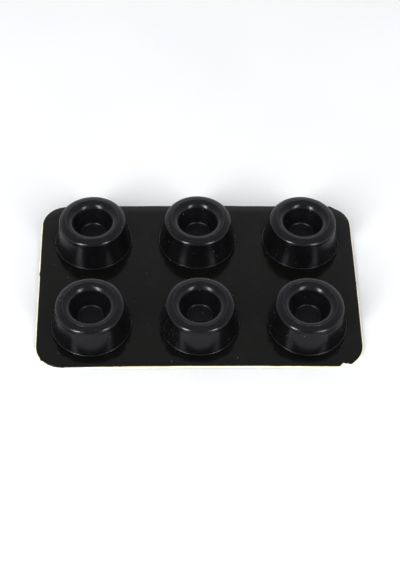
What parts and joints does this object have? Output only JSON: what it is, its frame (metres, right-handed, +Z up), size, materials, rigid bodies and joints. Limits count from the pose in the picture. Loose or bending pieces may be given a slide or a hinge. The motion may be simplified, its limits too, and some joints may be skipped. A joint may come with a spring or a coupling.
{
  "type": "vibration dampening foot sheet",
  "caption": "Flat sheet of round self-adhesive rubber feet, each a tapered button with a rounded top ring and a stepped recess, kiss-cut in a thin rubber web on a release liner.",
  "frame": {"origin": "middle of the release liner's underside", "axes": "+X along the sheet's long side, +Y along its short side towards the back row, +Z up out of the liner, the way the feet are peeled off"},
  "size_m": [0.0908, 0.0584, 0.0099],
  "materials": {
    "foot": "moulded black polyurethane rubber, semi-gloss",
    "web": "moulded black polyurethane skin, semi-gloss",
    "adhesive": "tacky pressure-sensitive rubber adhesive film, pale straw colour",
    "liner": "coated cream release paper, satin"
  },
  "bodies": {
    "sheet": {"release_liner": "liner", "web_adhesive": "adhesive", "rubber_web": "web"},
    "back_left": {"foot_back_left": "foot", "adhesive_back_left": "adhesive"},
    "back_middle": {"foot_back_middle": "foot", "adhesive_back_middle": "adhesive"},
    "back_right": {"foot_back_right": "foot", "adhesive_back_right": "adhesive"},
    "front_left": {"foot_front_left": "foot", "adhesive_front_left": "adhesive"},
    "front_middle": {"foot_front_middle": "foot", "adhesive_front_middle": "adhesive"},
    "front_right": {"foot_front_right": "foot", "adhesive_front_right": "adhesive"}
  },
  "joints": [
    {"name": "peel_back_left", "type": "slide", "parent": "sheet", "child": "back_left", "axis": [0, 0, 1], "range_m": [0, 0.015]},
    {"name": "peel_back_middle", "type": "slide", "parent": "sheet", "child": "back_middle", "axis": [0, 0, 1], "range_m": [0, 0.015]},
    {"name": "peel_back_right", "type": "slide", "parent": "sheet", "child": "back_right", "axis": [0, 0, 1], "range_m": [0, 0.015]},
    {"name": "peel_front_left", "type": "slide", "parent": "sheet", "child": "front_left", "axis": [0, 0, 1], "range_m": [0, 0.015]},
    {"name": "peel_front_middle", "type": "slide", "parent": "sheet", "child": "front_middle", "axis": [0, 0, 1], "range_m": [0, 0.015]},
    {"name": "peel_front_right", "type": "slide", "parent": "sheet", "child": "front_right", "axis": [0, 0, 1], "range_m": [0, 0.015]}
  ]
}
